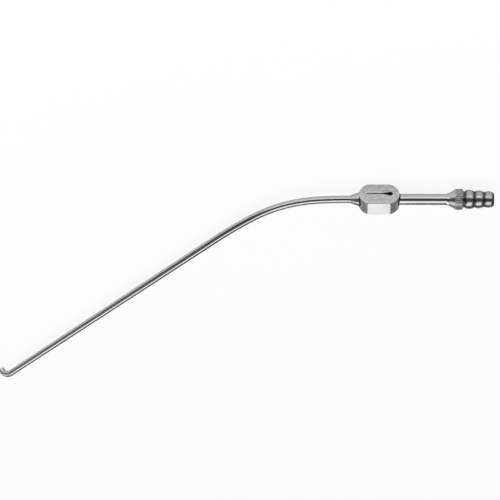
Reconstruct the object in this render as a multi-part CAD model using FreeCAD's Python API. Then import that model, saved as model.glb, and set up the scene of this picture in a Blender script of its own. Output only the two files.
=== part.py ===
import FreeCAD, Part
import math
import os

# Teardrop suction tube, in millimetres, in four brazed steel pieces.
# The origin is the centre of the hose end's mouth. +X runs along the stem
# towards the patient, +Y is the side that the cannula bends to, and +Z is up
# while the tube lies on its side. The teardrop vent looks to -Y.

# Hose connector: a turned barb, a knurled collar and the stem in one piece.
BORE_D = 3.4
STEM_D = 4.5
STEM_LENGTH = 18.0
END_CHAMFER = 0.2
RING_COUNT = 3
RING_PITCH = 3.85
RING_CREST_D = 7.8
RING_STEP = 0.28
RING_DEPTH = 0.7
CREST_SETBACK = 1.75
FIRST_RING_SHOULDER = 0.45
NECK_DEPTH = 0.25
NECK_WIDTH = 0.55
COLLAR_RISE = 0.3
COLLAR_LENGTH = 2.5
COLLAR_CHAMFER = 0.55
COLLAR_CHAMFER_HEIGHT = 0.7
KNURL_PITCH = 0.73
KNURL_DEPTH = 0.2
KNURL_HALF_ANGLE = 45.0
FLARE_HALF_ANGLE = 30.0
FLARE_FILLET = 4.5

# Grip block: a flat finger plate with round ends and a teardrop vent.
BLOCK_LENGTH = 16.3
BLOCK_HOSE_ROUND = 3.7
BLOCK_FAR_ROUND = 3.4
BLOCK_WIDTH = 11.1
BLOCK_THICKNESS = 6.4
BLOCK_CHAMFER = 0.3
VENT_HOSE_MARGIN = 2.75
VENT_FAR_MARGIN = 3.05
VENT_BULB_R = 1.0
VENT_TAIL_W = 0.42
VENT_SIDE_R = 9.2
CHANNEL_LAND = 0.5
CHANNEL_STEP = 0.05

# Ferrule: the turned cone that carries the cannula into the block.
FERRULE_RIM = 0.35
FERRULE_SEAT_DEPTH = 0.85
FERRULE_SPIGOT_WALL = 0.48
FERRULE_TIP_WALL = 0.13
FERRULE_CONE_LENGTH = 3.3

# Cannula: a tapered tube with a long compound bend and a hooked tip.
CANNULA_D = 3.0
TIP_D = 2.5
CANNULA_WALL = 0.25
STRAIGHT_BEFORE_BEND = 1.35
ENTRY_BEND_R = 145.0
ENTRY_BEND_ANGLE = 4.6
MAIN_BEND_R = 50.0
MAIN_BEND_ANGLE = 31.4
EXIT_BEND_R = 170.0
EXIT_BEND_ANGLE = 6.7
TAPER_LENGTH = 111.8
HOOK_R = 3.2
HOOK_ANGLE = 90.0
HOOK_ROLL = 55.0
HOOK_END_LENGTH = 0.5
TIP_ROUNDING = 0.12

# Brazed sockets keep this radial clearance for the filler.
BRAZE_GAP = 0.02

# Sizes that follow from the ones above.
SHOULDER_R = RING_CREST_D / 2 - FIRST_RING_SHOULDER
COLLAR_R = RING_CREST_D / 2 + COLLAR_RISE
COLLAR_START = END_CHAMFER + RING_COUNT * RING_PITCH + NECK_WIDTH
COLLAR_END = COLLAR_START + COLLAR_CHAMFER + COLLAR_LENGTH
FLARE_SLOPE = math.tan(math.radians(FLARE_HALF_ANGLE))
FLARE_BLEND = FLARE_FILLET * math.tan(math.radians(FLARE_HALF_ANGLE / 2))
FLARE_END = COLLAR_END + (COLLAR_R - STEM_D / 2) / FLARE_SLOPE + FLARE_BLEND
BLOCK_START = FLARE_END + STEM_LENGTH
BLOCK_END = BLOCK_START + BLOCK_LENGTH
VENT_START = BLOCK_START + VENT_HOSE_MARGIN
VENT_END = BLOCK_END - VENT_FAR_MARGIN
STEM_END = VENT_START - CHANNEL_LAND
CANNULA_START = VENT_END + CHANNEL_LAND
CHANNEL_D = CANNULA_D - 2 * CANNULA_WALL + 2 * CHANNEL_STEP
FERRULE_D = BLOCK_THICKNESS - 2 * FERRULE_RIM
FERRULE_BORE_D = CANNULA_D + 2 * BRAZE_GAP
FERRULE_SPIGOT_D = FERRULE_BORE_D + 2 * FERRULE_SPIGOT_WALL
FERRULE_TIP_D = FERRULE_BORE_D + 2 * FERRULE_TIP_WALL
FERRULE_TIP = BLOCK_END + FERRULE_CONE_LENGTH

X_AXIS = FreeCAD.Vector(1, 0, 0)
Y_AXIS = FreeCAD.Vector(0, 1, 0)
Z_AXIS = FreeCAD.Vector(0, 0, 1)
ORIGIN = FreeCAD.Vector(0, 0, 0)
FULL_TURN = 360.0
SAME_PLACE = 0.001
ROLL_STEPS = 6


def at(x, y=0.0, z=0.0):
    """A point of the model."""
    return FreeCAD.Vector(x, y, z)


def line(start, end):
    """A straight edge."""
    return Part.LineSegment(start, end).toShape()


def arc(start, middle, end):
    """A round edge through three points."""
    return Part.Arc(start, middle, end).toShape()


def chain(points):
    """Straight edges from point to point."""
    return [line(a, b) for a, b in zip(points, points[1:])]


def turned(edges):
    """The solid that a closed half section in the XY plane sweeps about the X axis."""
    section = Part.Face(Part.Wire(edges))
    return section.revolve(ORIGIN, X_AXIS, FULL_TURN)


def drilled(start, end, diameter):
    """The space of a straight hole along the X axis."""
    return Part.makeCylinder(diameter / 2, end - start, at(start), X_AXIS)


def barb_edges():
    """The outline of the barb's rings, from the mouth to the collar's neck."""
    edges = []
    start = at(END_CHAMFER, RING_CREST_D / 2 - (RING_COUNT - 1) * RING_STEP - RING_DEPTH)
    for ring in reversed(range(RING_COUNT)):
        crest_r = RING_CREST_D / 2 - ring * RING_STEP
        far_x = END_CHAMFER + (RING_COUNT - ring) * RING_PITCH
        far_r = crest_r + RING_STEP - RING_DEPTH if ring else SHOULDER_R
        end = at(far_x, far_r)
        edges.append(arc(start, at(far_x - CREST_SETBACK, crest_r), end))
        start = end
    return edges


def flare_edges():
    """The cone that falls from the collar and its fillet into the stem."""
    angle = math.radians(FLARE_HALF_ANGLE)

    def fillet_point(turn):
        drop = FLARE_FILLET * (1 - math.cos(turn))
        return at(FLARE_END - FLARE_FILLET * math.sin(turn), STEM_D / 2 + drop)

    cone_foot = fillet_point(angle)
    cone = line(at(COLLAR_END, COLLAR_R), cone_foot)
    return [cone, arc(cone_foot, fillet_point(angle / 2), fillet_point(0.0))]


def knurl_cuts():
    """Straight V grooves round the collar, a whole number of them."""
    count = round(math.tau * COLLAR_R / KNURL_PITCH)
    root = at(COLLAR_START, COLLAR_R - KNURL_DEPTH)
    height = 2 * KNURL_DEPTH
    half_w = height * math.tan(math.radians(KNURL_HALF_ANGLE))
    left = root + at(0, height, half_w)
    right = root + at(0, height, -half_w)
    groove = Part.Face(Part.makePolygon([root, left, right, root])).extrude(at(FLARE_END - COLLAR_START))
    cuts = []
    for index in range(count):
        cut = groove.copy()
        cut.rotate(ORIGIN, X_AXIS, index * FULL_TURN / count)
        cuts.append(cut)
    return cuts


def hose_connector():
    """The turned barb, collar and stem, with the bore right through."""
    rings = barb_edges()
    first = rings[0].Vertexes[0].Point
    shoulder = rings[-1].Vertexes[-1].Point
    flare = flare_edges()
    bore_r = BORE_D / 2
    mouth = chain([
        at(STEM_END, bore_r),
        at(0, bore_r),
        at(0, first.y - END_CHAMFER),
        first,
    ])
    collar = chain([
        shoulder,
        at(shoulder.x, SHOULDER_R - NECK_DEPTH),
        at(COLLAR_START, SHOULDER_R - NECK_DEPTH),
        at(COLLAR_START, COLLAR_R - COLLAR_CHAMFER_HEIGHT),
        at(COLLAR_START + COLLAR_CHAMFER, COLLAR_R),
        at(COLLAR_END, COLLAR_R),
    ])
    stem = chain([
        at(FLARE_END, STEM_D / 2),
        at(STEM_END, STEM_D / 2),
        at(STEM_END, bore_r),
    ])
    return turned(mouth + rings + collar + flare + stem).cut(knurl_cuts())


def block_outline():
    """The plate's outline: two flats and two round ends that meet at plain corners."""
    half_w = BLOCK_WIDTH / 2
    flat_start = BLOCK_START + BLOCK_HOSE_ROUND
    flat_end = BLOCK_END - BLOCK_FAR_ROUND
    y = -BLOCK_THICKNESS / 2
    near_low = at(flat_start, y, -half_w)
    near_high = at(flat_start, y, half_w)
    far_low = at(flat_end, y, -half_w)
    far_high = at(flat_end, y, half_w)
    return Part.Wire([
        arc(near_low, at(BLOCK_START, y), near_high),
        line(near_high, far_high),
        arc(far_high, at(BLOCK_END, y), far_low),
        line(far_low, near_low),
    ])


def vent_outline():
    """The teardrop: a round bulb, two hollow sides and a long thin tail."""
    y = -BLOCK_THICKNESS / 2
    half_tail = VENT_TAIL_W / 2
    reach = VENT_BULB_R + VENT_SIDE_R
    rise = half_tail + VENT_SIDE_R
    side_run = math.sqrt(reach ** 2 - rise ** 2)
    side_turn = math.asin(side_run / reach)
    side_end = VENT_START + VENT_BULB_R + side_run

    def side_point(turn, side):
        drop = rise - VENT_SIDE_R * math.cos(turn)
        return at(side_end - VENT_SIDE_R * math.sin(turn), y, side * drop)

    def side_arc(turns, side):
        return arc(*(side_point(turn, side) for turn in turns))

    tail_low = at(VENT_END - half_tail, y, -half_tail)
    tail_high = at(VENT_END - half_tail, y, half_tail)
    return Part.Wire([
        arc(side_point(side_turn, 1), at(VENT_START, y), side_point(side_turn, -1)),
        side_arc((side_turn, side_turn / 2, 0.0), -1),
        line(side_point(0.0, -1), tail_low),
        arc(tail_low, at(VENT_END, y), tail_high),
        line(tail_high, side_point(0.0, 1)),
        side_arc((0.0, side_turn / 2, side_turn), 1),
    ])


def grip_block():
    """The finger plate with its channel, its two sockets and the vent into the channel."""
    plate = Part.Face(block_outline()).extrude(Y_AXIS * BLOCK_THICKNESS)
    half_t = BLOCK_THICKNESS / 2
    rims = [e for e in plate.Edges if abs(abs(e.CenterOfMass.y) - half_t) < SAME_PLACE]
    plate = plate.makeChamfer(BLOCK_CHAMFER, rims)
    vent = Part.Face(vent_outline()).extrude(Y_AXIS * half_t)
    spaces = [
        vent,
        drilled(STEM_END, CANNULA_START, CHANNEL_D),
        drilled(BLOCK_START, STEM_END, STEM_D + 2 * BRAZE_GAP),
        drilled(CANNULA_START, BLOCK_END, FERRULE_SPIGOT_D + 2 * BRAZE_GAP),
        drilled(BLOCK_END - FERRULE_SEAT_DEPTH, BLOCK_END, FERRULE_D + 2 * BRAZE_GAP),
    ]
    return plate.cut(spaces)


def ferrule():
    """The cone with its seat and spigot, bored for the cannula."""
    bore_r = FERRULE_BORE_D / 2
    seat_x = BLOCK_END - FERRULE_SEAT_DEPTH
    return turned(chain([
        at(CANNULA_START, bore_r),
        at(CANNULA_START, FERRULE_SPIGOT_D / 2),
        at(seat_x, FERRULE_SPIGOT_D / 2),
        at(seat_x, FERRULE_D / 2),
        at(BLOCK_END, FERRULE_D / 2),
        at(FERRULE_TIP, FERRULE_TIP_D / 2),
        at(FERRULE_TIP, bore_r),
        at(CANNULA_START, bore_r),
    ]))


def tube_section(point, heading, diameter):
    """The tube wall's ring across its path."""
    outer = Part.Face(Part.Wire(Part.makeCircle(diameter / 2, point, heading)))
    inner = Part.Face(Part.Wire(Part.makeCircle(diameter / 2 - CANNULA_WALL, point, heading)))
    return outer.cut(inner).Faces[0]


def straight_tube(point, heading, length):
    """A straight run, and where it ends."""
    run = tube_section(point, heading, CANNULA_D).extrude(heading * length)
    return run, point + heading * length


def bent_tube(point, heading, towards, radius, angle, diameter):
    """A round bend to one side, where it ends and its new heading."""
    centre = point + towards * radius
    turn_axis = heading.cross(towards)
    bend = tube_section(point, heading, diameter).revolve(centre, turn_axis, angle)
    turn = math.radians(angle)
    end = centre - towards * (radius * math.cos(turn)) + heading * (radius * math.sin(turn))
    new_heading = heading * math.cos(turn) + towards * math.sin(turn)
    return bend, end, new_heading


def tapered_tube(point, heading, length):
    """The long run that narrows to the tip's diameter, and where it ends."""
    outer = Part.makeCone(CANNULA_D / 2, TIP_D / 2, length, point, heading)
    wall = CANNULA_WALL
    inner = Part.makeCone(CANNULA_D / 2 - wall, TIP_D / 2 - wall, length, point, heading)
    return outer.cut(inner), point + heading * length


def rounded_tip(point, heading):
    """The last short run of the hook, with its outer rim rounded."""
    run = tube_section(point, heading, TIP_D).extrude(heading * HOOK_END_LENGTH)
    end = point + heading * HOOK_END_LENGTH
    rims = [e for e in run.Edges if e.CenterOfMass.isEqual(end, SAME_PLACE)]
    rim = max(rims, key=lambda e: e.Length)
    return run.makeFillet(TIP_ROUNDING, [rim]), end


def cannula():
    """The whole tube, with the centre and heading of its open tip."""
    straight_length = FERRULE_TIP + STRAIGHT_BEFORE_BEND - CANNULA_START
    run, point = straight_tube(at(CANNULA_START), X_AXIS, straight_length)
    pieces = [run]
    heading = X_AXIS
    bends = (
        (ENTRY_BEND_R, ENTRY_BEND_ANGLE),
        (MAIN_BEND_R, MAIN_BEND_ANGLE),
        (EXIT_BEND_R, EXIT_BEND_ANGLE),
    )
    for radius, angle in bends:
        towards = Z_AXIS.cross(heading)
        bend, point, heading = bent_tube(point, heading, towards, radius, angle, CANNULA_D)
        pieces.append(bend)
    run, point = tapered_tube(point, heading, TAPER_LENGTH)
    pieces.append(run)
    roll = math.radians(HOOK_ROLL)
    towards = heading.cross(Z_AXIS) * math.cos(roll) - Z_AXIS * math.sin(roll)
    hook, point, heading = bent_tube(point, heading, towards, HOOK_R, HOOK_ANGLE, TIP_D)
    pieces.append(hook)
    run, point = rounded_tip(point, heading)
    pieces.append(run)
    return pieces[0].fuse(pieces[1:]).removeSplitter(), point, heading


def rest_roll(tip, heading):
    """How far the tube rolls about the stem, in degrees, until plate and tip both touch."""
    edge = at(0, BLOCK_THICKNESS / 2 - BLOCK_CHAMFER, -BLOCK_WIDTH / 2)
    rim_centre = tip - heading * TIP_ROUNDING
    roll = 0.0
    for _ in range(ROLL_STEPS):
        down = at(0, -math.sin(roll), -math.cos(roll))
        rim_r = (TIP_D / 2 - TIP_ROUNDING) * math.sqrt(1 - heading.dot(down) ** 2)
        above = edge.dot(down) - rim_centre.dot(down) - rim_r - TIP_ROUNDING
        roll -= above / (rim_centre.y - edge.y)
    return math.degrees(roll)


def main():
    """Build the four pieces, lay the tube on its side and write one file for each."""
    tube, tip, heading = cannula()
    nodes = {
        "hose_connector": hose_connector(),
        "grip_block": grip_block(),
        "ferrule": ferrule(),
        "cannula": tube,
    }
    roll = rest_roll(tip, heading)
    os.makedirs("parts", exist_ok=True)
    for name, shape in nodes.items():
        shape.rotate(ORIGIN, X_AXIS, roll)
        print(name, "solids", len(shape.Solids), "valid", shape.isValid(), "volume", round(shape.Volume, 2))
        shape.exportStep(os.path.join("parts", name + ".step"))
    print("roll", round(roll, 4), "bore length", round(STEM_END, 4))


main()
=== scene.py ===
import math

import bmesh
import bpy
from mathutils import Matrix, Vector


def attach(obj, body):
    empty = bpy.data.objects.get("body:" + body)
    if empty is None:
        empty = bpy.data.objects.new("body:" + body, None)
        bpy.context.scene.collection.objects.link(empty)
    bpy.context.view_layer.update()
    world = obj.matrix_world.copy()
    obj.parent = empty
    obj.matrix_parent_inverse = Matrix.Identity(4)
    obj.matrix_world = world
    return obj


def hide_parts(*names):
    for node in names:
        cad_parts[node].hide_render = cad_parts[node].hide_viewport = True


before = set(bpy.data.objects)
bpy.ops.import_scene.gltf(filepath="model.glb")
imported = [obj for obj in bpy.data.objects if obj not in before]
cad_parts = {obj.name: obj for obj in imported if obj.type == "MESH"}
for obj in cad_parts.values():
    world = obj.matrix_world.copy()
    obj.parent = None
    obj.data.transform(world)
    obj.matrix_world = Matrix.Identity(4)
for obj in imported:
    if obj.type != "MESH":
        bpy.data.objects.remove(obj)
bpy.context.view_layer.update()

# Teardrop suction tube: four brazed pieces of stainless steel. Sizes are in
# millimetres, along the tube's own lines, and lay_down() turns them into the
# frame, where the tube lies on its side.
MM = 0.001
REST_ROLL = math.radians(-1.0953)
FLOOR_Z = -5.61

# Hose connector.
BORE_R = 1.7
STEM_R = 2.25
MOUTH_CHAMFER = 0.2
RING_COUNT = 3
RING_PITCH = 3.85
RING_CREST_R = 3.9
RING_STEP = 0.28
RING_DEPTH = 0.7
CREST_SETBACK = 1.75
SHOULDER_R = 3.45
NECK_R = 3.2
NECK_WIDTH = 0.55
COLLAR_R = 4.2
COLLAR_LIP_R = 3.5
COLLAR_CHAMFER = 0.55
COLLAR_LENGTH = 2.5
GROOVE_COUNT = 36
GROOVE_ROOT_R = 4.0
FLARE_ANGLE = math.radians(30.0)
FLARE_FILLET = 4.5
STEM_LENGTH = 18.0
KNURL_RUN_OUT = (COLLAR_R - GROOVE_ROOT_R) / math.tan(FLARE_ANGLE)
BARB_END = MOUTH_CHAMFER + RING_COUNT * RING_PITCH
COLLAR_START = BARB_END + NECK_WIDTH
COLLAR_END = COLLAR_START + COLLAR_CHAMFER + COLLAR_LENGTH
FLARE_BLEND = FLARE_FILLET * math.tan(FLARE_ANGLE / 2)
FLARE_END = COLLAR_END + (COLLAR_R - STEM_R) / math.tan(FLARE_ANGLE) + FLARE_BLEND

# Grip block.
PLATE_START = FLARE_END + STEM_LENGTH
PLATE_LENGTH = 16.3
PLATE_END = PLATE_START + PLATE_LENGTH
HOSE_ROUND = 3.7
FAR_ROUND = 3.4
HALF_WIDTH = 5.55
HALF_THICK = 3.2
RIM_CHAMFER = 0.3
VENT_START = PLATE_START + 2.75
VENT_END = PLATE_END - 3.05
VENT_BULB_R = 1.0
VENT_SIDE_R = 9.2
VENT_HALF_TAIL = 0.21
CHANNEL_R = 1.3
STEM_END = VENT_START - 0.5
CANNULA_START = VENT_END + 0.5
STEM_SOCKET_R = 2.27
SPIGOT_SOCKET_R = 2.02
SEAT_SOCKET_R = 2.87
# About the radius of both round ends, for the grain that runs round them.
END_R = 6.0

# Ferrule.
FERRULE_R = 2.85
FERRULE_SEAT = PLATE_END - 0.85
FERRULE_SPIGOT_R = 2.0
FERRULE_BORE_R = 1.52
FERRULE_TIP_R = 1.65
FERRULE_TIP = PLATE_END + 3.3

# Cannula.
TUBE_R = 1.5
TIP_R = 1.25
TUBE_WALL = 0.25
BEND_START = FERRULE_TIP + 1.35
BENDS = ((145.0, math.radians(4.6)), (50.0, math.radians(31.4)), (170.0, math.radians(6.7)))
TAPER_LENGTH = 111.8
HOOK_R = 3.2
HOOK_ROLL = math.radians(55.0)
HOOK_END_LENGTH = 0.5
TIP_ROUNDING = 0.12
TIP_LIP = TUBE_WALL * 0.2

# What a careful finisher leaves on an edge, and the silver in a brazed joint.
BROKEN_EDGE = 0.06
BROKEN_SHARE = 0.45
VENT_EASE = BROKEN_EDGE * 1.2
VENT_EASE_STEP = (BROKEN_EDGE * 0.4, BROKEN_EDGE * 0.45)
BRAZE_LEG = 0.45
BRAZE_FOOT = 0.03

# How finely round forms are divided, and how near counts as the same place.
RING_STEPS = 22
FLARE_STEPS = 14
EASE_STEPS = 4
BRAZE_STEPS = 8
PLATE_END_STEPS = 64
VENT_SIDE_STEPS = 20
VENT_TAIL_STEPS = 6
VENT_BULB_STEPS = 28
BORE_COLUMNS = 96
FERRULE_COLUMNS = 128
TUBE_COLUMNS = 72
TUBE_START_STEPS = 5
TAPER_STEPS = 44
HOOK_STEPS = 36
TIP_STEPS = 5
BEND_STEPS_PER_DEGREE = 1.6
# Columns of the collar's skin over one groove, as shares of its pitch, close together where the V is.
GROOVE_PARTS = (0.0, 0.12, 0.23, 0.32, 0.5, 0.68, 0.77, 0.88)
# Rows of the cone's skin where the grooves run out, as shares of that run.
RUN_OUT_PARTS = (0.3, 0.5, 0.7, 0.85, 1.0, 1.3)
SAME = 0.01
NEAR = 0.1
SHARP_EDGE = math.radians(40)
CORNER = math.radians(12)
# How much of a face's normal runs along an axis when the face is square to it, or leans as a rim does.
SQUARE = 0.99
DEAD_SQUARE = 0.999
RIM_LEAN = 0.4
# How far the cutters stand out of the plate.
VENT_CUTTER_PROUD = 1.0
BORE_CUTTER_PROUD = 2.0

X_AXIS = Vector((1, 0, 0))
Z_AXIS = Vector((0, 0, 1))


def lay_down(x, y, z):
    """A point of the tube as it lies on the table, in metres."""
    turn, lift = math.cos(REST_ROLL), math.sin(REST_ROLL)
    return Vector((x, y * turn - z * lift, y * lift + z * turn)) * MM


def linear(hex_colour):
    """An sRGB hex colour as the linear one that a shader takes."""
    parts = [int(hex_colour[i:i + 2], 16) / 255 for i in (1, 3, 5)]
    return [p / 12.92 if p <= 0.04045 else ((p + 0.055) / 1.055) ** 2.4 for p in parts] + [1.0]


def add(tree, kind, inputs=None, **settings):
    """A node with its settings, its values and its links."""
    node = tree.nodes.new(kind)
    for name, value in settings.items():
        setattr(node, name, value)
    for key, value in (inputs or {}).items():
        if isinstance(value, bpy.types.NodeSocket):
            tree.links.new(value, node.inputs[key])
        else:
            node.inputs[key].default_value = value
    return node


# Outlines

def eased(points, radius):
    """A closed outline with its corners rounded a little, as a finisher breaks them."""
    made = []
    for before, corner, after in zip(points[-1:] + points[:-1], points, points[1:] + points[:1]):
        middle = Vector(corner)
        back, on = Vector(before) - middle, Vector(after) - middle
        turn = math.pi - back.angle(on)
        if turn < CORNER:
            made.append(corner)
            continue
        most = BROKEN_SHARE * min(back.length, on.length)
        leg = min(radius * math.tan(turn / 2), most)
        start, end = middle + back.normalized() * leg, middle + on.normalized() * leg
        for step in range(EASE_STEPS + 1):
            t = step / EASE_STEPS
            made.append(tuple(start * (1 - t) ** 2 + middle * (2 * t * (1 - t)) + end * t ** 2))
    return made


def round_through(start, middle, end, steps):
    """Points on the round arc through three points, both ends included."""
    (ax, ay), (bx, by), (cx, cy) = start, middle, end
    d = 2 * (ax * (by - cy) + bx * (cy - ay) + cx * (ay - by))
    a2, b2, c2 = ax * ax + ay * ay, bx * bx + by * by, cx * cx + cy * cy
    ux = (a2 * (by - cy) + b2 * (cy - ay) + c2 * (ay - by)) / d
    uy = (a2 * (cx - bx) + b2 * (ax - cx) + c2 * (bx - ax)) / d
    radius = math.hypot(ax - ux, ay - uy)
    angles = [math.atan2(p[1] - uy, p[0] - ux) for p in (start, middle, end)]
    sweep = (angles[2] - angles[0]) % math.tau
    if (angles[1] - angles[0]) % math.tau > sweep:
        sweep -= math.tau
    turns = [angles[0] + sweep * i / steps for i in range(steps + 1)]
    return [(ux + radius * math.cos(t), uy + radius * math.sin(t)) for t in turns]


def barb_outline():
    """The three round rings of the barb, each a little larger than the one before."""
    points = []
    start = (MOUTH_CHAMFER, RING_CREST_R - (RING_COUNT - 1) * RING_STEP - RING_DEPTH)
    for ring in reversed(range(RING_COUNT)):
        crest = RING_CREST_R - ring * RING_STEP
        far_x = MOUTH_CHAMFER + (RING_COUNT - ring) * RING_PITCH
        far_r = crest + RING_STEP - RING_DEPTH if ring else SHOULDER_R
        end = (far_x, far_r)
        points += round_through(start, (far_x - CREST_SETBACK, crest), end, RING_STEPS)[:-1]
        start = end
    return points + [start]


def flare_outline():
    """The cone behind the collar and the hollow fillet that runs out into the stem."""
    turns = [FLARE_ANGLE * (1 - i / FLARE_STEPS) for i in range(FLARE_STEPS + 1)]
    x0, r0 = FLARE_END, STEM_R + FLARE_FILLET
    run_out = [COLLAR_END + part * KNURL_RUN_OUT for part in RUN_OUT_PARTS]
    cone = [(x, COLLAR_R - (x - COLLAR_END) * math.tan(FLARE_ANGLE)) for x in run_out]
    return cone + [(x0 - FLARE_FILLET * math.sin(t), r0 - FLARE_FILLET * math.cos(t)) for t in turns]


def plate_outline():
    """The plate seen on its face: two flats and two round ends, as (x, z)."""
    flat_start, flat_end = PLATE_START + HOSE_ROUND, PLATE_END - FAR_ROUND
    low, high = -HALF_WIDTH, HALF_WIDTH
    hose = round_through((flat_start, low), (PLATE_START, 0), (flat_start, high), PLATE_END_STEPS)
    far = round_through((flat_end, high), (PLATE_END, 0), (flat_end, low), PLATE_END_STEPS)
    return hose + far


def braze_outline():
    """The hollow fillet of silver where the stem enters the plate, and its foot inside the socket."""
    turns = [math.pi / 2 * i / BRAZE_STEPS for i in range(BRAZE_STEPS + 1)]
    x0, r0 = PLATE_START - BRAZE_LEG, STEM_R + BRAZE_LEG
    fillet = [(x0 + BRAZE_LEG * math.sin(t), r0 - BRAZE_LEG * math.cos(t)) for t in turns]
    return fillet + [(PLATE_START + BRAZE_FOOT, r0), (PLATE_START + BRAZE_FOOT, STEM_R)]


def vent_outline(ease=0.0):
    """The teardrop, as (x, z), let out by ease where the rim is broken."""
    bulb, side = VENT_BULB_R + ease, VENT_SIDE_R - ease
    tail = VENT_HALF_TAIL + ease
    reach, rise = VENT_BULB_R + VENT_SIDE_R, VENT_HALF_TAIL + VENT_SIDE_R
    run = math.sqrt(reach ** 2 - rise ** 2)
    turn = math.asin(run / reach)
    centre_x = VENT_START + VENT_BULB_R
    side_x = centre_x + run
    tail_x = VENT_END - VENT_HALF_TAIL
    side_turns = [turn * (1 - i / VENT_SIDE_STEPS) for i in range(VENT_SIDE_STEPS + 1)]
    sides = [(side_x - side * math.sin(t), rise - side * math.cos(t)) for t in side_turns]
    tail_turns = [math.pi / 2 * (1 - i / VENT_TAIL_STEPS) for i in range(VENT_TAIL_STEPS + 1)]
    half = sides + [(tail_x + tail * math.cos(t), tail * math.sin(t)) for t in tail_turns]
    lower = [(x, -z) for x, z in reversed(half[:-1])]
    start = math.atan2(lower[-1][1], lower[-1][0] - centre_x) % math.tau
    sweep = 2 * (start - math.pi)
    bulb_turns = [start - sweep * i / VENT_BULB_STEPS for i in range(1, VENT_BULB_STEPS)]
    return half + lower + [(centre_x + bulb * math.cos(t), bulb * math.sin(t)) for t in bulb_turns]


# Meshes

def placed(name, data):
    """An object with this mesh, lamp or lens, in the scene."""
    thing = bpy.data.objects.new(name, data)
    bpy.context.scene.collection.objects.link(thing)
    return thing


def as_object(name, work):
    """An object with the mesh that was worked on."""
    mesh = bpy.data.meshes.new(name)
    work.to_mesh(mesh)
    work.free()
    return placed(name, mesh)


def outside(mesh):
    """Turns every face of a closed mesh outwards."""
    work = bmesh.new()
    work.from_mesh(mesh)
    bmesh.ops.recalc_face_normals(work, faces=work.faces)
    work.to_mesh(mesh)
    work.free()


def finish_mesh(piece, finishes, nodes):
    """Gives a piece its finishes, its smooth shading and its place under the root body, and hides the CAD
    nodes that it stands for.
    """
    for finish in finishes:
        piece.data.materials.append(finish)
    piece.data.shade_smooth()
    piece.data.set_sharp_from_angle(angle=SHARP_EDGE)
    even = piece.modifiers.new("even_normals", "WEIGHTED_NORMAL")
    even.keep_sharp = True
    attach(piece, "root")
    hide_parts(*nodes)
    return piece


def skin(name, rings, finish_of_row):
    """A closed skin over rings of points. Its UV is the distance round and along, in millimetres."""
    rows, columns = len(rings), len(rings[0])
    mesh = bpy.data.meshes.new(name)
    points = [lay_down(*p) for ring in rings for p in ring]
    faces, marks, finishes = [], [], []
    along = [0.0]
    for a, b in zip(rings, rings[1:] + rings[:1]):
        along.append(along[-1] + (Vector(b[0]) - Vector(a[0])).length)
    widest = max(rings, key=lambda ring: (Vector(ring[0]) - Vector(ring[columns // 2])).length)
    round_at = [0.0]
    for a, b in zip(widest, widest[1:] + widest[:1]):
        round_at.append(round_at[-1] + (Vector(b) - Vector(a)).length)
    for i in range(rows):
        k = (i + 1) % rows
        for j in range(columns):
            m = (j + 1) % columns
            faces.append((i * columns + j, i * columns + m, k * columns + m, k * columns + j))
            marks += [(round_at[j], along[i]), (round_at[j + 1], along[i])]
            marks += [(round_at[j + 1], along[i + 1]), (round_at[j], along[i + 1])]
            finishes.append(finish_of_row(i))
    mesh.from_pydata(points, [], faces)
    uv = mesh.uv_layers.new(name="grain")
    for loop, mark in zip(uv.data, marks):
        loop.uv = mark
    mesh.polygons.foreach_set("material_index", finishes)
    outside(mesh)
    return placed(name, mesh)


def turned(name, outline, turns, finish_of_row, cut=None):
    """A piece turned on the lathe about the tube's line. cut moves the points that aren't quite round."""
    rings = []
    for place in outline:
        ring = []
        for t in turns:
            x, r = cut(*place, t) if cut else place
            ring.append((x, r * math.cos(t), r * math.sin(t)))
        rings.append(ring)
    return skin(name, rings, finish_of_row)


def even_turns(count):
    """Angles all round, evenly spaced."""
    return [math.tau * i / count for i in range(count)]


def hose_connector(finishes):
    """Barb, knurled collar, flare and stem, bored right through."""
    rings = barb_outline()
    outline = eased(
        [(STEM_END, BORE_R), (0.0, BORE_R), (0.0, rings[0][1] - MOUTH_CHAMFER)]
        + rings
        + [
            (BARB_END, NECK_R),
            (COLLAR_START, NECK_R),
            (COLLAR_START, COLLAR_LIP_R),
            (COLLAR_START + COLLAR_CHAMFER, COLLAR_R),
            (COLLAR_END, COLLAR_R),
        ]
        + flare_outline()
        + braze_outline()
        + [(STEM_END, STEM_R)],
        BROKEN_EDGE,
    )
    pitch = math.tau / GROOVE_COUNT
    turns = [pitch * (groove + part) for groove in range(GROOVE_COUNT) for part in GROOVE_PARTS]

    end_r = (HALF_WIDTH ** 2 + HOSE_ROUND ** 2) / (2 * HOSE_ROUND)
    braze_start = PLATE_START - BRAZE_LEG - BROKEN_EDGE

    def cut(x, r, turn):
        """Straight V grooves on the collar, and a braze fillet that follows the plate's round end."""
        if r > BORE_R + BROKEN_EDGE and braze_start < x < PLATE_START + BRAZE_LEG:
            return x + end_r - math.sqrt(end_r ** 2 - (r * math.sin(turn)) ** 2), r
        if x < COLLAR_START - BROKEN_EDGE or x > FLARE_END:
            return x, r
        off = abs((turn / pitch + 0.5) % 1.0 - 0.5) * pitch
        return x, min(r, GROOVE_ROOT_R / (math.cos(off) - math.sin(off)))

    def finish_of_row(row):
        """The bore, the knurl, the braze, and then the barb or the stem."""
        x, r = outline[row]
        if r < BORE_R + 2 * SAME:
            return 3
        if COLLAR_START - NEAR < x < COLLAR_END + KNURL_RUN_OUT and r > COLLAR_LIP_R - NEAR:
            return 1
        if x > braze_start:
            return 4
        return 0 if x < COLLAR_END else 2

    piece = turned("hose_barb_and_stem", outline, turns, finish_of_row, cut)
    return finish_mesh(piece, finishes, ["hose_connector"])


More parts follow.
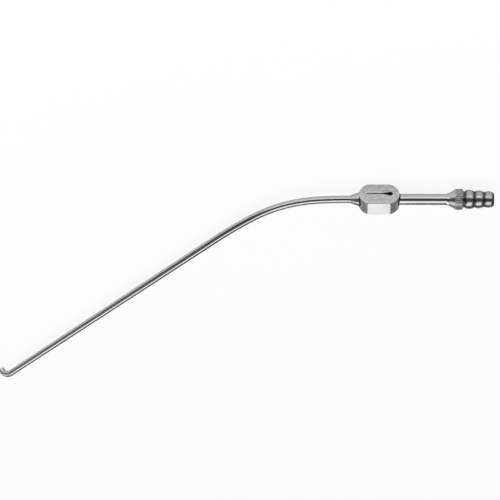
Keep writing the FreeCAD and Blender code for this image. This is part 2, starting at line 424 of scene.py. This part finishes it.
def ferrule(finishes):
    """The turned cone, with the spigot and seat that the plate hides."""
    outline = eased(
        [
            (CANNULA_START, FERRULE_BORE_R),
            (CANNULA_START, FERRULE_SPIGOT_R),
            (FERRULE_SEAT, FERRULE_SPIGOT_R),
            (FERRULE_SEAT, FERRULE_R),
            (PLATE_END, FERRULE_R),
            (FERRULE_TIP, FERRULE_TIP_R),
            (FERRULE_TIP, FERRULE_BORE_R),
        ],
        BROKEN_EDGE,
    )

    def finish_of_row(row):
        """Braze on the seat, and the turned finish elsewhere."""
        return int(FERRULE_SEAT - BROKEN_EDGE < outline[row][0] < PLATE_END - 2 * BROKEN_EDGE)

    piece = turned("cannula_ferrule", outline, even_turns(FERRULE_COLUMNS), finish_of_row)
    return finish_mesh(piece, finishes, ["ferrule"])


def bend_point(point, heading, towards, radius, turn):
    """Where a round bend is after a turn, and its heading there."""
    end = point + towards * (radius * (1 - math.cos(turn))) + heading * (radius * math.sin(turn))
    return end, heading * math.cos(turn) + towards * math.sin(turn)


def bend_stations(point, heading, towards, radius, angle, steps, tube_r):
    """Stations along a round bend, its end left out."""
    places = [bend_point(point, heading, towards, radius, angle * i / steps) for i in range(steps)]
    return [(place, way, tube_r) for place, way in places]


def tube_line():
    """The cannula's line: points, headings and outer radii from the ferrule to the open tip."""
    point, heading = Vector((CANNULA_START, 0, 0)), X_AXIS.copy()
    stations = []
    run = BEND_START - CANNULA_START
    for i in range(TUBE_START_STEPS):
        stations.append((point + heading * run * i / TUBE_START_STEPS, heading.copy(), TUBE_R))
    point = point + heading * run
    for radius, angle in BENDS:
        towards = Z_AXIS.cross(heading)
        steps = round(math.degrees(angle) * BEND_STEPS_PER_DEGREE)
        stations += bend_stations(point, heading, towards, radius, angle, steps, TUBE_R)
        point, heading = bend_point(point, heading, towards, radius, angle)
    for i in range(TAPER_STEPS):
        t = i / TAPER_STEPS
        stations.append((point + heading * TAPER_LENGTH * t, heading.copy(), TUBE_R + (TIP_R - TUBE_R) * t))
    point = point + heading * TAPER_LENGTH
    towards = heading.cross(Z_AXIS) * math.cos(HOOK_ROLL) - Z_AXIS * math.sin(HOOK_ROLL)
    stations += bend_stations(point, heading, towards, HOOK_R, math.pi / 2, HOOK_STEPS, TIP_R)
    point, heading = bend_point(point, heading, towards, HOOK_R, math.pi / 2)
    stations.append((point, heading.copy(), TIP_R))
    return stations, point + heading * HOOK_END_LENGTH, heading


def cannula(finishes):
    """The long tapered tube with its bend and hook, open at both ends."""
    stations, mouth, out = tube_line()
    rim = []
    for i in range(TIP_STEPS + 1):
        t = math.pi / 2 * i / TIP_STEPS
        back = TIP_ROUNDING * (1 - math.sin(t))
        rim.append((mouth - out * back, out, TIP_R - TIP_ROUNDING * (1 - math.cos(t))))
    bore = [(p, h, r - TUBE_WALL) for p, h, r in stations]
    inner_r = TIP_R - TUBE_WALL
    inner_rim = [(mouth, out, inner_r + TIP_LIP), (mouth - out * TIP_LIP, out, inner_r)]
    line = stations + rim + inner_rim + bore[::-1]
    outer_rows = len(stations) + len(rim)
    side = Vector((0, 1, 0))
    sides = []
    for point, heading, radius in stations + rim:
        side = (side - heading * side.dot(heading)).normalized()
        sides.append(side)
    sides += [side, side] + sides[:len(stations)][::-1]
    rings = []
    for (point, heading, radius), side in zip(line, sides):
        other = heading.cross(side)
        ways = [side * math.cos(t) + other * math.sin(t) for t in even_turns(TUBE_COLUMNS)]
        rings.append([tuple(point + way * radius) for way in ways])
    piece = skin("cannula_tube", rings, lambda row: 0 if row < outer_rows else 1)
    return finish_mesh(piece, finishes, ["cannula"])


def sleeve(work, loops):
    """Closes loops of points into a solid, one loop after the next, capped at both ends."""
    corners = [[work.verts.new(place) for place in loop] for loop in loops]
    for a, b in zip(corners, corners[1:]):
        for j in range(len(a)):
            k = (j + 1) % len(a)
            work.faces.new((a[j], a[k], b[k], b[j]))
    work.faces.new(corners[0])
    work.faces.new(corners[-1])
    bmesh.ops.recalc_face_normals(work, faces=work.faces)


def plate_blank():
    """The plate before it is bored: chamfered rims, and broken edges on every corner."""
    outline = plate_outline()
    work = bmesh.new()
    sleeve(work, [[(x, y, z) for x, z in outline] for y in (-HALF_THICK, HALF_THICK)])
    rims = [e for e in work.edges if abs(e.verts[0].co.y - e.verts[1].co.y) < BROKEN_EDGE]
    bmesh.ops.bevel(work, geom=rims, offset=RIM_CHAMFER, offset_type="OFFSET", segments=1, affect="EDGES")
    corners = [e for e in work.edges if e.calc_face_angle(0) > CORNER]
    bmesh.ops.bevel(
        work,
        geom=corners,
        offset=BROKEN_EDGE,
        offset_type="OFFSET",
        segments=3,
        profile=0.5,
        affect="EDGES",
    )
    return as_object("grip_plate", work)


def vent_cutter():
    """The cutter of the teardrop, wider at the face, where two small steps break the rim of the vent."""
    levels = [
        (-HALF_THICK - VENT_CUTTER_PROUD, VENT_EASE),
        (-HALF_THICK - SAME, VENT_EASE),
        (-HALF_THICK + VENT_EASE_STEP[0], VENT_EASE_STEP[1]),
        (-HALF_THICK + VENT_EASE, 0.0),
        (0.0, 0.0),
    ]
    work = bmesh.new()
    sleeve(work, [[(x, y, z) for x, z in vent_outline(ease)] for y, ease in levels])
    return as_object("vent_cutter", work)


def bore_cutter():
    """The stepped drill: the stem's socket, the channel, and the ferrule's socket and seat."""
    steps = [
        (PLATE_START - BORE_CUTTER_PROUD, STEM_SOCKET_R),
        (STEM_END, STEM_SOCKET_R),
        (STEM_END, CHANNEL_R),
        (CANNULA_START, CHANNEL_R),
        (CANNULA_START, SPIGOT_SOCKET_R),
        (FERRULE_SEAT, SPIGOT_SOCKET_R),
        (FERRULE_SEAT, SEAT_SOCKET_R),
        (PLATE_END + BORE_CUTTER_PROUD, SEAT_SOCKET_R),
    ]
    turns = even_turns(BORE_COLUMNS)
    work = bmesh.new()
    sleeve(work, [[(x, r * math.cos(t), r * math.sin(t)) for t in turns] for x, r in steps])
    return as_object("bore_cutter", work)


def plate_finish(centre, normal):
    """Which finish a face of the plate has: 0 face, 1 flat, 2 end, 3 bore, 4 rim."""
    x, y, z = centre
    across, up = abs(normal.y), abs(normal.z)
    if across > SQUARE and abs(y) > HALF_THICK - 2 * SAME:
        return 0
    in_bore = math.hypot(y, z) < STEM_SOCKET_R + SAME and up < DEAD_SQUARE
    in_vent = VENT_START - NEAR < x < VENT_END + NEAR and abs(z) < VENT_BULB_R + NEAR
    if in_bore or in_vent:
        return 3
    if up > SQUARE:
        return 1
    return 4 if across > RIM_LEAN else 2


def grip_block(finishes):
    """The finger plate: chamfered rims, broken edges, the teardrop vent and the bored channel."""
    blank = plate_blank()
    tools = [vent_cutter(), bore_cutter()]
    for tool in tools:
        cut = blank.modifiers.new("cut", "BOOLEAN")
        cut.object = tool
        cut.solver = "EXACT"
    bpy.context.view_layer.update()
    carved = bpy.data.meshes.new_from_object(blank.evaluated_get(bpy.context.evaluated_depsgraph_get()))
    for spent in tools + [blank]:
        bpy.data.objects.remove(spent)
    carved.name = "grip_plate"
    grain = carved.uv_layers.new(name="grain")
    for face in carved.polygons:
        x = face.center.x
        face.material_index = plate_finish(face.center, face.normal)
        for corner in face.loop_indices:
            px, py, pz = carved.vertices[carved.loops[corner].vertex_index].co
            if face.material_index in (0, 4):
                mark = (pz, px)
            elif face.material_index == 1:
                mark = (py, px)
            else:
                middle = PLATE_START + END_R if x < PLATE_START + HOSE_ROUND else PLATE_END - END_R
                mark = (math.atan2(pz, abs(px - middle)) * END_R, py)
            grain.data[corner].uv = mark
    for vertex in carved.vertices:
        vertex.co = lay_down(*vertex.co)
    return finish_mesh(placed("grip_plate", carved), finishes, ["grip_block"])


# Finishes

# The middle part of a noise, where most of its values lie.
NOISE_LOW, NOISE_HIGH = 0.3, 0.7
# Waves per millimetre round the tube and along it. Draw lines are a few hundredths of a
# millimetre wide and tens long, drawn at 0.3 mm to show.
DRAW_LINES = (3.3, 0.06, 1.0)
DRAWN_ROUGHNESS = (0.08, 0.17)
DRAWN_DEPTH = 0.02
# A finishing feed of 0.05 mm is drawn at 0.25 mm.
TURNED_RINGS = (0.12, 4.0, 1.0)
TURNED_SPREAD = 0.06
# A scratch is about 22 times as long as it is wide, and its width is drawn coarser than the grit.
SCRATCH_NARROWNESS = 0.045
GROUND_SPREAD = 0.07
# The waves per millimetre of the clouds on ground steel, and of the wear on the knurl.
CLOUD_SCALE = 0.45
WEAR_SCALE = 0.75
# From the middle of a groove, the knurl has painted shade to the first width and none from the second.
GROOVE_SHADE_TO_LAND = (0.04, 0.24)
# Painted shade in the barb's valleys: full up to the first distance from a valley, and gone from the second.
VALLEY_SHADE_REACH = (0.1 * MM, 1.3 * MM)


def steel(name, colour, anisotropy, across=False):
    """A bare stainless steel, its node tree and its shader, with the grain's own direction."""
    finish = bpy.data.materials.new(name)
    finish.use_nodes = True
    tree = finish.node_tree
    tree.nodes.clear()
    grain = add(tree, "ShaderNodeTangent", direction_type="UV_MAP", uv_map="grain")
    bare = add(
        tree,
        "ShaderNodeBsdfPrincipled",
        {
            "Metallic": 1.0,
            "Base Color": linear(colour),
            "Anisotropic": anisotropy,
            "Anisotropic Rotation": 0.25 if across else 0.0,
            "Tangent": grain.outputs["Tangent"],
        },
    )
    add(tree, "ShaderNodeOutputMaterial", {"Surface": bare.outputs["BSDF"]})
    return finish, tree, bare


def marked(tree, bare, pattern, roughness, depth, strength):
    """Lets a pattern of tool marks vary the roughness and dent the surface, depth in millimetres."""
    worn = add(
        tree,
        "ShaderNodeMapRange",
        {
            "Value": pattern,
            "From Min": NOISE_LOW,
            "From Max": NOISE_HIGH,
            "To Min": roughness[0],
            "To Max": roughness[1],
        },
    )
    tree.links.new(worn.outputs["Result"], bare.inputs["Roughness"])
    dents = add(tree, "ShaderNodeBump", {"Strength": strength, "Distance": depth * MM, "Height": pattern})
    tree.links.new(dents.outputs["Normal"], bare.inputs["Normal"])


def drawn_tube_steel():
    """Stainless tube, drawn and polished: clear long reflections with faint lengthwise lines."""
    finish, tree, bare = steel("polished_drawn_stainless", "#BABABA", 0.3)
    place = add(tree, "ShaderNodeUVMap", uv_map="grain")
    run = add(tree, "ShaderNodeMapping", {"Vector": place.outputs["UV"], "Scale": DRAW_LINES})
    lines = add(
        tree, "ShaderNodeTexNoise", {"Vector": run.outputs["Vector"], "Scale": 1.0, "Detail": 4.0}
    )
    marked(tree, bare, lines.outputs["Fac"], DRAWN_ROUGHNESS, DRAWN_DEPTH, strength=0.12)
    return finish


def turned_steel(name, colour, roughness, depth):
    """Stainless bar, turned and then polished: fine rings round the axis that spread the light."""
    finish, tree, bare = steel(name, colour, 0.3, across=True)
    place = add(tree, "ShaderNodeUVMap", uv_map="grain")
    run = add(tree, "ShaderNodeMapping", {"Vector": place.outputs["UV"], "Scale": TURNED_RINGS})
    rings = add(
        tree, "ShaderNodeTexNoise", {"Vector": run.outputs["Vector"], "Scale": 1.0, "Detail": 3.0}
    )
    worn = (roughness - TURNED_SPREAD, roughness + TURNED_SPREAD)
    marked(tree, bare, rings.outputs["Fac"], worn, depth, strength=0.15)
    return finish, tree, bare


def knurled_collar_finish():
    """Knurled stainless: the rolled lands stay bright, and painted shade darkens the grooves between them.
    """
    land_colour = "#DEDEDE"
    finish, tree, bare = turned_steel("knurled_stainless", land_colour, 0.34, 0.03)
    place = add(tree, "ShaderNodeUVMap", uv_map="grain")
    parts = add(tree, "ShaderNodeSeparateXYZ", {0: place.outputs["UV"]})
    half_pitch = math.pi * COLLAR_R / GROOVE_COUNT
    groove = add(tree, "ShaderNodeMath", {0: parts.outputs["X"], 1: half_pitch}, operation="PINGPONG")
    groove_unshaded = add(
        tree,
        "ShaderNodeMapRange",
        {"Value": groove.outputs[0], "From Min": GROOVE_SHADE_TO_LAND[0], "From Max": GROOVE_SHADE_TO_LAND[1]},
        interpolation_type="SMOOTHSTEP",
    )
    # Handling wears the lands unevenly, in patches of about a millimetre.
    wear = add(
        tree, "ShaderNodeTexNoise", {"Vector": place.outputs["UV"], "Scale": WEAR_SCALE, "Detail": 2.0}
    )
    worn = add(
        tree,
        "ShaderNodeMapRange",
        {"Value": wear.outputs["Fac"], "From Min": 0.4, "From Max": 0.6, "To Min": 0.5, "To Max": 1.0},
    )
    bright = add(tree, "ShaderNodeMath", {0: groove_unshaded.outputs[0], 1: worn.outputs[0]}, operation="MULTIPLY")
    # Painted shade: the grooves take the dark colour, and the lands take the land colour, dimmed where worn.
    tone = add(
        tree,
        "ShaderNodeMix",
        {0: bright.outputs[0], 6: linear("#606060"), 7: linear(land_colour)},
        data_type="RGBA",
    )
    tree.links.new(tone.outputs[2], bare.inputs["Base Color"])
    return finish


def barb_steel_finish():
    """Turned stainless rings, bright on the crests, with painted shade darkening the valleys between them.
    """
    crest_colour = "#B2B2B2"
    finish, tree, bare = turned_steel("turned_polished_stainless_painted_valley_shade", crest_colour, 0.27, 0.02)
    place = add(tree, "ShaderNodeTexCoord")
    parts = add(tree, "ShaderNodeSeparateXYZ", {0: place.outputs["Object"]})
    first = MOUTH_CHAMFER * MM
    shift = add(tree, "ShaderNodeMath", {0: parts.outputs["X"], 1: first}, operation="SUBTRACT")
    half_pitch = RING_PITCH * MM / 2
    depth = add(tree, "ShaderNodeMath", {0: shift.outputs[0], 1: half_pitch}, operation="PINGPONG")
    valley_unshaded = add(
        tree,
        "ShaderNodeMapRange",
        {"Value": depth.outputs[0], "From Min": VALLEY_SHADE_REACH[0], "From Max": VALLEY_SHADE_REACH[1]},
        interpolation_type="SMOOTHSTEP",
    )
    # Painted shade: the valleys take the dark colour.
    tone = add(
        tree,
        "ShaderNodeMix",
        {0: valley_unshaded.outputs[0], 6: linear("#4A4A4A"), 7: linear(crest_colour)},
        data_type="RGBA",
    )
    tree.links.new(tone.outputs[2], bare.inputs["Base Color"])
    return finish


def ground_steel(name, colour, roughness, anisotropy, grit_width, depth, patches):
    """Stainless plate, ground on a belt: straight fine scratches, slightly uneven in tone."""
    finish, tree, bare = steel(name, colour, anisotropy)
    place = add(tree, "ShaderNodeUVMap", uv_map="grain")
    grain = (1 / grit_width, SCRATCH_NARROWNESS / grit_width, 1.0)
    run = add(tree, "ShaderNodeMapping", {"Vector": place.outputs["UV"], "Scale": grain})
    scratches = add(
        tree, "ShaderNodeTexNoise", {"Vector": run.outputs["Vector"], "Scale": 1.0, "Detail": 5.0}
    )
    cloud = add(
        tree,
        "ShaderNodeTexNoise",
        {"Vector": place.outputs["UV"], "Scale": CLOUD_SCALE, "Detail": 2.0, "Roughness": 0.55},
    )
    both = add(
        tree, "ShaderNodeMath", {0: cloud.outputs["Fac"], 1: scratches.outputs["Fac"]}, operation="ADD"
    )
    uneven = add(tree, "ShaderNodeMapRange", {"Value": both.outputs[0], "From Min": 0.75, "From Max": 1.25})
    bright = linear(colour)
    dull = [c * (1 - patches) for c in bright[:3]] + [1.0]
    tone = add(tree, "ShaderNodeMix", {0: uneven.outputs["Result"], 6: dull, 7: bright}, data_type="RGBA")
    tree.links.new(tone.outputs[2], bare.inputs["Base Color"])
    worn = (roughness - GROUND_SPREAD, roughness + GROUND_SPREAD)
    marked(tree, bare, scratches.outputs["Fac"], worn, depth, strength=0.3)
    return finish


# Studio

TABLE_HALF = 9.0
TENT_R = 1.5
TENT_MIDDLE = (0.1, 0.04, 0.0)
TENT_ROWS = 40
TENT_COLUMNS = 96
TENT_RISE = math.radians(89.5)
STRIP_TOP = math.radians(16)
BAND_START = math.radians(31)
STRIP_GLOW = 1.4
STRIP_FRONT = (-0.8, -0.45)
BAND_GLOW = 0.085
SIDE_GLOW = 0.7
SIDE_BEHIND = (-0.35, 0.1)
SOFTBOX_HEIGHT = 0.6
SOFTBOX_GLOW = 1.72
# Each softbox: its middle, its half sizes, and the widths of the fades at its four hems.
HANDLE_SOFTBOX = ((-0.03, 0.27, SOFTBOX_HEIGHT), (0.42, 0.43), (0.12, 0.14, 0.22, 0.45))
CANNULA_SOFTBOX = ((0.36, 0.42, SOFTBOX_HEIGHT - 0.01), (0.22, 0.22), (0.06, 0.12, 0.08, 0.1))
CARD_GLOW = 2.5
CARD_REACH = 60.0
CARD_HALF_X = 7.0
CARD_HALF_Y = 30.0
CARD_WAY = (0.0, 0.693, 0.7205)
WHITE_TO_LENS = 0.9
WHITE_TO_MIRROR = 0.2
PANEL_WAY = (0.75, 0.38, 0.54)
PANEL_CORE = math.radians(8)
PANEL_EDGE = math.radians(27)
PANEL_GLOW = 0.95
LAMP_PLACE = (0.1, 0.1, 1.1)
LAMP_WIDTH = 0.8
LAMP_POWER = 19.0
ROOM_LIGHT = 0.8
WHITE = (1.0, 1.0, 1.0, 1.0)


def stage_paint(mesh, name):
    """A new material for a thing of the studio, and its empty node tree."""
    paint = bpy.data.materials.new(name)
    paint.use_nodes = True
    paint.node_tree.nodes.clear()
    mesh.materials.append(paint)
    return paint.node_tree


def white_seen(tree, to_lens, to_mirror):
    """How much plain white a ray sees: one share for the camera, one for metal and glass."""
    rays = add(tree, "ShaderNodeLightPath")
    mirror = add(
        tree,
        "ShaderNodeMath",
        {0: rays.outputs["Is Glossy Ray"], 1: rays.outputs["Is Transmission Ray"]},
        operation="MAXIMUM",
    )
    dimmed = add(tree, "ShaderNodeMath", {0: mirror.outputs[0], 1: to_mirror}, operation="MULTIPLY")
    straight = add(
        tree, "ShaderNodeMath", {0: rays.outputs["Is Camera Ray"], 1: to_lens}, operation="MULTIPLY"
    )
    share = add(tree, "ShaderNodeMath", {0: dimmed.outputs[0], 1: straight.outputs[0]}, operation="MAXIMUM")
    return share.outputs[0]


def table_top():
    """A plain white table under the tube."""
    mesh = bpy.data.meshes.new("table_top")
    half, z = TABLE_HALF, FLOOR_Z * MM
    corners = [(-half, -half, z), (half, -half, z), (half, half, z), (-half, half, z)]
    mesh.from_pydata(corners, [], [(0, 1, 2, 3)])
    placed("table_top", mesh)
    tree = stage_paint(mesh, "white_laminate")
    matt = add(tree, "ShaderNodeBsdfDiffuse", {"Color": linear("#F2F2F2")})
    white = add(tree, "ShaderNodeEmission", {"Color": WHITE, "Strength": 1.0})
    share = white_seen(tree, WHITE_TO_LENS, WHITE_TO_MIRROR)
    both = add(
        tree, "ShaderNodeMixShader", {0: share, 1: matt.outputs["BSDF"], 2: white.outputs["Emission"]}
    )
    add(tree, "ShaderNodeOutputMaterial", {"Surface": both.outputs["Shader"]})


def light_tent():
    """A round tent: a bright strip low in front, a dark band above it, dim sides and one lit panel."""
    mesh = bpy.data.meshes.new("light_tent")
    points, faces = [], []
    for i in range(TENT_ROWS + 1):
        rise = TENT_RISE * i / TENT_ROWS
        reach, height = TENT_R * math.cos(rise), TENT_R * math.sin(rise) + FLOOR_Z * MM
        points += [(reach * math.cos(t), reach * math.sin(t), height) for t in even_turns(TENT_COLUMNS)]
    for i in range(TENT_ROWS):
        for j in range(TENT_COLUMNS):
            k = (j + 1) % TENT_COLUMNS
            a, b = i * TENT_COLUMNS, (i + 1) * TENT_COLUMNS
            faces.append((a + j, b + j, b + k, a + k))
    mesh.from_pydata(points, [], faces)
    tent = placed("light_tent", mesh)
    tent.location = TENT_MIDDLE
    tent.visible_camera = False
    tree = stage_paint(mesh, "tent_cloth")
    place = add(tree, "ShaderNodeTexCoord")
    way = add(tree, "ShaderNodeVectorMath", {0: place.outputs["Object"]}, operation="NORMALIZE")
    parts = add(tree, "ShaderNodeSeparateXYZ", {0: way.outputs[0]})
    panel_way = Vector(PANEL_WAY).normalized()
    off = add(tree, "ShaderNodeVectorMath", {0: way.outputs[0], 1: panel_way}, operation="DOT_PRODUCT")

    # What each part of the light follows, from where to where, and its level at both.
    eased_levels = []
    for follows, start, end, at_start, at_end in (
        (parts.outputs["Z"], math.sin(STRIP_TOP), math.sin(BAND_START), STRIP_GLOW, 0.0),
        (parts.outputs["Y"], *STRIP_FRONT, 1.0, 0.0),
        (parts.outputs["Y"], *SIDE_BEHIND, 0.0, SIDE_GLOW),
        (off.outputs["Value"], math.cos(PANEL_EDGE), math.cos(PANEL_CORE), 0.0, PANEL_GLOW),
    ):
        eased_level = add(
            tree,
            "ShaderNodeMapRange",
            {
                "Value": follows,
                "From Min": start,
                "From Max": end,
                "To Min": at_start,
                "To Max": at_end,
            },
            interpolation_type="SMOOTHSTEP",
        )
        eased_levels.append(eased_level.outputs[0])
    strip, front, behind, panel = eased_levels
    low = add(tree, "ShaderNodeMath", {0: strip, 1: front}, operation="MULTIPLY")
    # The sides are brightest to the left and right, low down and behind.
    aside = add(tree, "ShaderNodeMath", {0: parts.outputs["X"], 1: parts.outputs["X"]}, operation="MULTIPLY")
    below = add(tree, "ShaderNodeMath", {0: 1.0, 1: parts.outputs["Z"]}, operation="SUBTRACT")
    level = add(tree, "ShaderNodeMath", {0: aside.outputs[0], 1: below.outputs[0]}, operation="MULTIPLY")
    sides = add(
        tree, "ShaderNodeMath", {0: level.outputs[0], 1: behind, 2: BAND_GLOW}, operation="MULTIPLY_ADD"
    )
    lit = add(tree, "ShaderNodeMath", {0: panel, 1: sides.outputs[0]}, operation="ADD")
    total = add(tree, "ShaderNodeMath", {0: low.outputs[0], 1: lit.outputs[0]}, operation="ADD")
    glow = add(tree, "ShaderNodeEmission", {"Color": WHITE, "Strength": total.outputs[0]})
    add(tree, "ShaderNodeOutputMaterial", {"Surface": glow.outputs["Emission"]})


def softbox(name, middle, half_sizes, fades):
    """A broad lit cloth over the tube that fades out at its four hems."""
    mesh = bpy.data.meshes.new(name)
    half_x, half_y = half_sizes
    corners = [(-half_x, -half_y, 0), (-half_x, half_y, 0), (half_x, half_y, 0), (half_x, -half_y, 0)]
    mesh.from_pydata(corners, [], [(0, 1, 2, 3)])
    box = placed(name, mesh)
    box.location = middle
    box.visible_camera = False
    tree = stage_paint(mesh, "lit_diffuser_cloth")
    place = add(tree, "ShaderNodeTexCoord")
    parts = add(tree, "ShaderNodeSeparateXYZ", {0: place.outputs["Object"]})
    hems = (
        ("X", -half_x, -half_x + fades[0], 0.0, 1.0),
        ("X", half_x - fades[1], half_x, 1.0, 0.0),
        ("Y", -half_y, -half_y + fades[2], 0.0, 1.0),
        ("Y", half_y - fades[3], half_y, 1.0, 0.0),
    )
    level = 1.0
    for axis, start, end, at_start, at_end in hems:
        fade = add(
            tree,
            "ShaderNodeMapRange",
            {
                "Value": parts.outputs[axis],
                "From Min": start,
                "From Max": end,
                "To Min": at_start,
                "To Max": at_end,
            },
            interpolation_type="SMOOTHSTEP",
        )
        level = add(tree, "ShaderNodeMath", {0: level, 1: fade.outputs[0]}, operation="MULTIPLY").outputs[0]
    clear = add(tree, "ShaderNodeBsdfTransparent")
    glow = add(tree, "ShaderNodeEmission", {"Color": WHITE, "Strength": SOFTBOX_GLOW})
    lit = add(tree, "ShaderNodeMixShader", {0: level, 1: clear.outputs["BSDF"], 2: glow.outputs["Emission"]})
    add(tree, "ShaderNodeOutputMaterial", {"Surface": lit.outputs["Shader"]})


def plate_reflector():
    """A small white card behind the plate, square to the way that its upper flat mirrors the lens."""
    out = Vector(CARD_WAY)
    along = X_AXIS.cross(out)
    middle = Vector(((PLATE_START + PLATE_END) / 2, 0, HALF_WIDTH)) + out * CARD_REACH
    corners = [
        (middle + X_AXIS * side_x * CARD_HALF_X + along * side_y * CARD_HALF_Y) * MM
        for side_x, side_y in ((-1, -1), (1, -1), (1, 1), (-1, 1))
    ]
    mesh = bpy.data.meshes.new("plate_reflector")
    mesh.from_pydata(corners, [], [(0, 1, 2, 3)])
    card = placed("plate_reflector", mesh)
    card.visible_camera = False
    card.visible_shadow = False
    card.visible_diffuse = False
    tree = stage_paint(mesh, "white_card")
    glow = add(tree, "ShaderNodeEmission", {"Color": WHITE, "Strength": CARD_GLOW})
    add(tree, "ShaderNodeOutputMaterial", {"Surface": glow.outputs["Emission"]})


def fill_lamp():
    """A wide lamp over the table that lights what is matt and makes the faint shadow."""
    lamp = bpy.data.lights.new("fill_lamp", "AREA")
    lamp.shape = "DISK"
    lamp.size = LAMP_WIDTH
    lamp.energy = LAMP_POWER
    body = placed("fill_lamp", lamp)
    body.location = LAMP_PLACE
    body.visible_camera = False
    body.visible_glossy = False


def room():
    """White round the table, at strength 1 for what a lens or a mirror sees."""
    world = bpy.data.worlds.new("white_room")
    world.use_nodes = True
    bpy.context.scene.world = world
    tree = world.node_tree
    tree.nodes.clear()
    seen = add(tree, "ShaderNodeBackground", {"Color": WHITE, "Strength": 1.0})
    light = add(tree, "ShaderNodeBackground", {"Color": WHITE, "Strength": ROOM_LIGHT})
    both = add(
        tree, "ShaderNodeMixShader", {0: white_seen(tree, 1.0, 1.0), 1: light.outputs[0], 2: seen.outputs[0]}
    )
    add(tree, "ShaderNodeOutputWorld", {"Surface": both.outputs["Shader"]})


# A long lens that looks down at the plate's face, the picture turned half round.
LENS = 1500.0
SENSOR = 36.0
PICTURE_WIDTH = 200.42
AZIMUTH = math.radians(1.2607)
ELEVATION = math.radians(46.7041)
ROLL = math.radians(180 - 0.8399)
AIM_X = 97.8598
AIM_DOWN = 20.37
CLIP = (0.1, 60.0)


def photographers_camera():
    """The camera, so far back that the picture's width at the tube is PICTURE_WIDTH."""
    level = math.cos(ELEVATION)
    back = Vector((math.sin(AZIMUTH) * level, -math.cos(AZIMUTH) * level, math.sin(ELEVATION)))
    right = Vector((math.cos(AZIMUTH), math.sin(AZIMUTH), 0))
    up = back.cross(right)
    across = right * math.cos(ROLL) + up * math.sin(ROLL)
    above = up * math.cos(ROLL) - right * math.sin(ROLL)
    aim = X_AXIS * AIM_X - above * AIM_DOWN
    place = (aim + back * (PICTURE_WIDTH * LENS / SENSOR)) * MM
    lens = bpy.data.cameras.new("camera")
    lens.lens = LENS
    lens.sensor_width = SENSOR
    lens.clip_start, lens.clip_end = CLIP
    camera = placed("camera", lens)
    camera.matrix_world = Matrix(
        [(across[i], above[i], back[i], place[i]) for i in range(3)] + [(0, 0, 0, 1)]
    )
    bpy.context.scene.camera = camera


# The polished tube mirrors the studio in long clean lines.
tube_steel = drawn_tube_steel()
# The bores are drilled and never polished: dull, and coloured darker as painted shade inside them.
bore_steel, *_ = turned_steel("drilled_stainless_painted_shade", "#555555", roughness=0.45, depth=0.05)
# Silver braze fillets, coloured near-black as painted shade: a dark line round each joint.
braze, *_ = turned_steel("braze_painted_shade", "#343434", roughness=0.45, depth=0.05)
# The rings of the barb: bright crests, and painted shade in the valleys between them.
barb_steel = barb_steel_finish()
# The knurl's lands are worn unevenly by hands, and painted shade darkens the grooves between them: fine
# light lines with dark ones between.
knurl_steel = knurled_collar_finish()
# The ferrule's cone is turned but hardly polished: its highlights are soft.
cone_steel, *_ = turned_steel("turned_cone_stainless", "#BCBCBC", roughness=0.27, depth=0.03)
# The stem is polished on the wheel: one crisp highlight along it, above a dark line.
stem_steel, *_ = turned_steel("polished_stem_stainless", "#BDBDBE", roughness=0.18, depth=0.01)
# The face is ground satin with the grain along the plate: an even mid grey, a little cloudy.
face_steel = ground_steel(
    "satin_ground_stainless",
    "#D3D3D3",
    roughness=0.34,
    anisotropy=0.6,
    grit_width=0.6,
    depth=0.03,
    patches=0.28,
)
# The flats are ground fine and catch the light all over; their colour, lighter than the face's, adds painted
# highlight.
flat_steel = ground_steel(
    "fine_ground_stainless_painted_highlight",
    "#E2E2E2",
    roughness=0.5,
    anisotropy=0.85,
    grit_width=0.4,
    depth=0.02,
    patches=0.06,
)
# The round ends are ground by hand with a coarser belt, with streaks across; their darker colour is painted
# shade.
end_steel = ground_steel(
    "coarse_ground_stainless_painted_shade",
    "#ACACAC",
    roughness=0.4,
    anisotropy=0.7,
    grit_width=0.7,
    depth=0.06,
    patches=0.5,
)
# The chamfers are wiped on a fine belt; their lighter colour is a painted highlight: a light line between
# face and flat.
rim_steel = ground_steel(
    "chamfered_stainless_painted_highlight",
    "#DEDEDE",
    roughness=0.5,
    anisotropy=0.5,
    grit_width=0.25,
    depth=0.01,
    patches=0.05,
)

hose_connector([barb_steel, knurl_steel, stem_steel, bore_steel, braze])
grip_block([face_steel, flat_steel, end_steel, bore_steel, rim_steel])
ferrule([cone_steel, braze])
cannula([tube_steel, bore_steel])

table_top()
light_tent()
softbox("handle_softbox", *HANDLE_SOFTBOX)
softbox("cannula_softbox", *CANNULA_SOFTBOX)
plate_reflector()
fill_lamp()
room()
photographers_camera()
bpy.context.scene.view_settings.view_transform = "Standard"

bpy.context.view_layer.update()
